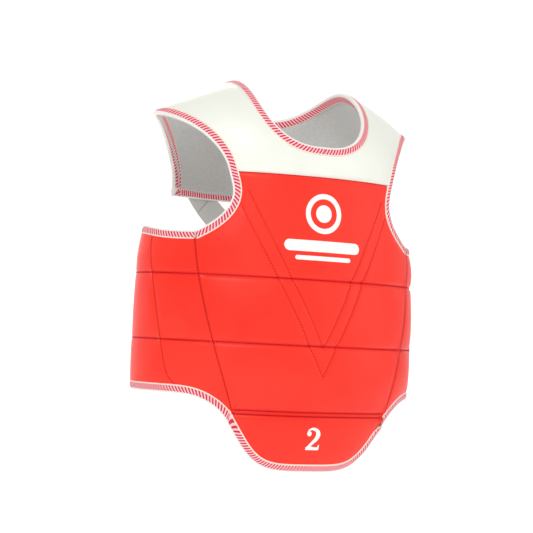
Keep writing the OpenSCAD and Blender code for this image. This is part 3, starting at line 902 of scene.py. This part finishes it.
for side, flip in SIDES:
    wing = f"wing_{side}"
    lift = 2 if flip else -2  # at the crossing the left strap lies over the right one
    k = np.linspace(K_BAR + (FOLD_LEN - 6) * K_MM, 0.975, 120)
    h = 1.6 - BAR_R + lift * ease(0.4, 0.55, k) * (1 - ease(0.82, 0.93, k))
    strap = ribbon(f"strap_{side}", [curve_frame(k, h)], None, flip)
    start, end = (tuple((mirrored(curve_mid(q), flip) - [0, 0, REST_Z]) / 1000) for q in (0.95, 0.2))
    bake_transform(strap)
    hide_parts(f"back_strap_{side}")

    k = np.linspace(0.962, 1.09, 24)
    _, across, out = curve_frame(k)
    sewn_end = ribbon(f"strap_sewn_end_{side}", [(curve_at(k, 0.0) + out * 2.0, across, out)], FRONT, flip)
    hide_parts(f"strap_anchor_{side}")

    k = np.linspace(-0.088, K_LOOP - 0.006, 24)
    _, across, out = curve_frame(k)
    over = (curve_at(k, 0.0) + out * mix(1.75, 3.3, ease(-0.05, 0.02, k))[:, None], across, out)
    under = flipped_out(curve_frame(np.linspace(K_LOOP - 0.006, 0.004, 8), -BAR_R + 0.6))
    loop = ribbon(f"ring_webbing_{side}", [over, round_bar(-RING_LEN / 2, 90, -90), under], wing, flip)
    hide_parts(f"ring_loop_{side}")

    q_in, q_out = np.linspace(FOLD_LEN, 1, 14), np.linspace(1, TAB_LEN, 22)
    coming = flipped_out(curve_frame(K_BAR + q_in * K_MM, 1.6 * ease(0, 26, q_in) - BAR_R))
    going = curve_frame(K_BAR + q_out * K_MM, BAR_R - 0.9 * ease(0, 26, q_out))
    fold = ribbon(f"strap_fold_{side}", [coming, round_bar(RING_LEN / 2, -90, -270), going],
                  f"strap_end_{side}", flip)
    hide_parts(f"strap_tab_{side}")

    for name, body, runs in (("anchor_stitches", FRONT, box_stitch(0.985, 1.075, 2.9, flip)),
                             ("loop_stitches", wing, box_stitch(-0.08, -0.035, 2.6, flip))):
        ob = stitches(f"{name}_{side}", runs, thread_white, body, r=0.35)

# ---- stitching along the seams ----

front_runs = [run_of(level(SEAM_HI, 51), front_relief), run_of(level(SEAM_LO, 43.5), front_relief),
              run_of(FOLD_HI, front_relief, part=(0.03, 0.97))]
for flip in (False, True):
    front_runs += [run_of(seam, front_relief, flip=flip) for seam in (VEE_IN, VEE_OUT)]
    front_runs.append(run_of(WING_SEAM, front_relief, 0.9, flip, (0.04, 0.97)))
front_stitches = stitches("front_stitches", front_runs, thread_red, FRONT)
lobe_stitches = stitches("lobe_stitches", [run_of(FOLD_LO, lobe_relief, part=(0.04, 0.96))], thread_red, None)
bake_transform(lobe_stitches)
for side, flip in SIDES:
    runs = []
    for z, start in ((SEAM_HI, 52.5), (SEAM_LO, 45.5)):
        place = level(z, 0)[0]
        runs.append(run_of((place, -start, 5 - WING_END), wing_reliefs[side], flip=flip))
    runs.append(run_of(SIDE_SEAM, wing_reliefs[side], flip=flip, part=(0.0, 0.955)))
    ob = stitches(f"wing_stitches_{side}", runs, thread_red, f"wing_{side}")

# ---- printed marks ----

def print_piece(name, points, faces, relief, body, node):
    """A printed mark: (x, z) points laid on the relief of the front."""
    x, z = points.T
    p = front_at(x, z, 0.0)
    out = unit(p - front_at(x, z, 5.0))
    p = p + out * (relief(p) + 0.14)[:, None]
    ob = make_mesh(name, p, faces, [ink], body=body)
    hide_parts(node)


def strip(left, right, across=4):
    """Points and faces of a band between two lines of points."""
    left, right = np.asarray(left, float), np.asarray(right, float)
    t = np.linspace(0, 1, across + 1)[None, :, None]
    p = (left[:, None] * (1 - t) + right[:, None] * t).reshape(-1, 2)
    return p, grid_faces(len(left), across + 1)


def joined(parts):
    """Points and faces of several strips as one."""
    counts = np.cumsum([0] + [len(p) for p, f in parts])
    return np.concatenate([p for p, f in parts]), np.concatenate([f + n for (p, f), n in zip(parts, counts)])


def circle(r, x, z, n=72):
    a = np.linspace(0, 2 * math.pi, n + 1)
    return np.stack([x + r * np.cos(a), z + r * np.sin(a)], -1)


def smooth_path(points, n):
    """Catmull-Rom curve through the points."""
    p = np.array([points[0]] + list(points) + [points[-1]], float)
    out = []
    for i in range(1, len(p) - 2):
        for t in np.linspace(0, 1, n, endpoint=False):
            a, b, c, d = p[i - 1:i + 3]
            square, cube = 2 * a - 5 * b + 4 * c - d, 3 * b - a - 3 * c + d
            out.append(0.5 * (2 * b + (c - a) * t + square * t**2 + cube * t**3))
    return np.array(out + [p[-2]])


def numeral_two(x0, z0, h):
    """A slab-serif 2 as a stroke of changing width with a ball at its start."""
    spine = smooth_path([(-0.26, 0.74), (-0.2, 0.9), (0.0, 0.965), (0.2, 0.88), (0.26, 0.72), (0.18, 0.52),
                         (0.0, 0.34), (-0.18, 0.17), (-0.28, 0.06)], 8)
    t = np.linspace(0, 1, len(spine))
    wide = np.interp(t, [0, 0.15, 0.28, 0.5, 0.7, 0.88, 1], [0.07, 0.075, 0.13, 0.23, 0.16, 0.11, 0.09])
    head = unit(np.gradient(spine, axis=0))
    side = np.stack([-head[:, 1], head[:, 0]], -1) * wide[:, None] / 2
    foot_top = [(-0.33, 0.13), (-0.1, 0.17), (0.12, 0.13), (0.26, 0.13), (0.3, 0.24), (0.35, 0.24)]
    foot_low = [(-0.33, 0.0), (-0.1, 0.0), (0.12, 0.0), (0.24, 0.0), (0.32, 0.0), (0.34, 0.04)]
    ball = [circle(0.115, -0.19, 0.745, 24), circle(0.005, -0.19, 0.745, 24)]
    points, faces = joined([strip(spine + side, spine - side), strip(foot_top, foot_low), strip(*ball)])
    points[:, 0] -= 0.1 * points[:, 1]
    return np.array([x0, z0]) + points * h, faces


def rounded_bar(w, h, z0):
    x = np.linspace(-w / 2, w / 2, 61)
    end = np.clip((w / 2 - np.abs(x)) / (h / 2), 0, 1)
    half = h / 2 * np.sqrt(np.maximum(1 - (1 - end) ** 2, 0.02))
    return strip(np.stack([x, z0 + half], -1), np.stack([x, z0 - half], -1))


ring_mark, dot_mark = ([circle(r, 0, 322) for r in radii] for radii in ((25, 18.5), (11, 0.2)))
roundel = joined([strip(*ring_mark), strip(*dot_mark, 8)])
print_piece("roundel_print", *roundel, front_relief, FRONT, "chest_roundel")
bars = [rounded_bar(106, 14, 281), rounded_bar(78, 5.5, 266)]
print_piece("bar_print", *joined(bars), front_relief, FRONT, "chest_bar")
print_piece("numeral_print", *numeral_two(-1.5, 28.7, 27.5), lobe_relief, LOBE, "size_numeral")

# ---- finishes of the CAD parts that stay ----

cad_looks = {"strap_ring": plastic, "hook_patch": hook, "foam": foam}
for name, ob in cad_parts.items():
    for part, look in cad_looks.items():
        if part in name and not ob.hide_render:
            ob.data.materials.clear()
            ob.data.materials.append(look)

# ---- camera, lights and floor ----

AZ, EL, ROLL = (math.radians(a) for a in (27.47, -2.12, 2.9))
DIST = 2.320
AIM_ACROSS, AIM_Z = -0.01285, 257.1  # sideways shift in the picture, height over the lobe's tip
back = Vector((-math.sin(AZ) * math.cos(EL), -math.cos(AZ) * math.cos(EL), math.sin(EL)))
right = Vector((math.cos(AZ), -math.sin(AZ), 0))
up = back.cross(right)
target = Vector((0, 0, (AIM_Z - REST_Z) / 1000)) + right * AIM_ACROSS
rolled = right * math.cos(ROLL) + up * math.sin(ROLL)
up = up * math.cos(ROLL) - right * math.sin(ROLL)
cam = bpy.data.objects.new("camera", bpy.data.cameras.new("camera"))
cam.data.lens = 120.2
cam.data.sensor_width = 36
cam.matrix_world = Matrix.Translation(target + back * DIST) @ Matrix((rolled, up, back)).transposed().to_4x4()
bpy.context.scene.collection.objects.link(cam)
bpy.context.scene.camera = cam


def lamp(name, place, size, power):
    data = bpy.data.lights.new(name, "AREA")
    data.shape = "RECTANGLE"
    data.size, data.size_y = size
    data.energy = power
    ob = bpy.data.objects.new(name, data)
    ob.location = place
    aim = Vector((0, 0, -0.22)) - Vector(place)
    ob.rotation_euler = aim.to_track_quat("-Z", "Y").to_euler()
    bpy.context.scene.collection.objects.link(ob)


lamp("key", (-1.1, -1.8, 1.5), (0.9, 0.7), 31)
lamp("fill", (1.9, -1.4, 0.5), (1.4, 1.6), 9)
lamp("rim", (0.6, 1.6, 1.2), (1.2, 0.8), 12)

FLOOR_Z, FLOOR_BACK, BEND_R = -0.72, 1.6, 0.9
bend = [(FLOOR_BACK + BEND_R * math.sin(a), BEND_R - BEND_R * math.cos(a))
        for a in np.radians(np.linspace(10, 90, 9))]
profile = [(-3.2, 0.0), (FLOOR_BACK, 0.0)] + bend + [(FLOOR_BACK + BEND_R, 3.5)]
n = len(profile)
floor_mesh = bpy.data.meshes.new("floor")
floor_mesh.from_pydata([(x, y, FLOOR_Z + z) for x in (-4.5, 4.5) for y, z in profile], [],
                       [(i, n + i, n + i + 1, i + 1) for i in range(n - 1)])
floor_mesh.polygons.foreach_set("use_smooth", [True] * (n - 1))
floor_look = shader("floor", (0.93, 0.93, 0.93), 0.9, Emission_Color=(1, 1, 1, 1), Emission_Strength=0.3)
floor_mesh.materials.append(floor_look)
floor = bpy.data.objects.new("floor", floor_mesh)
bpy.context.scene.collection.objects.link(floor)

world = bpy.data.worlds.new("studio")
bpy.context.scene.world = world
world.use_nodes = True
world.node_tree.nodes["Background"].inputs["Color"].default_value = (1, 1, 1, 1)
world.node_tree.nodes["Background"].inputs["Strength"].default_value = 0.6
bpy.context.scene.view_settings.view_transform = "Standard"
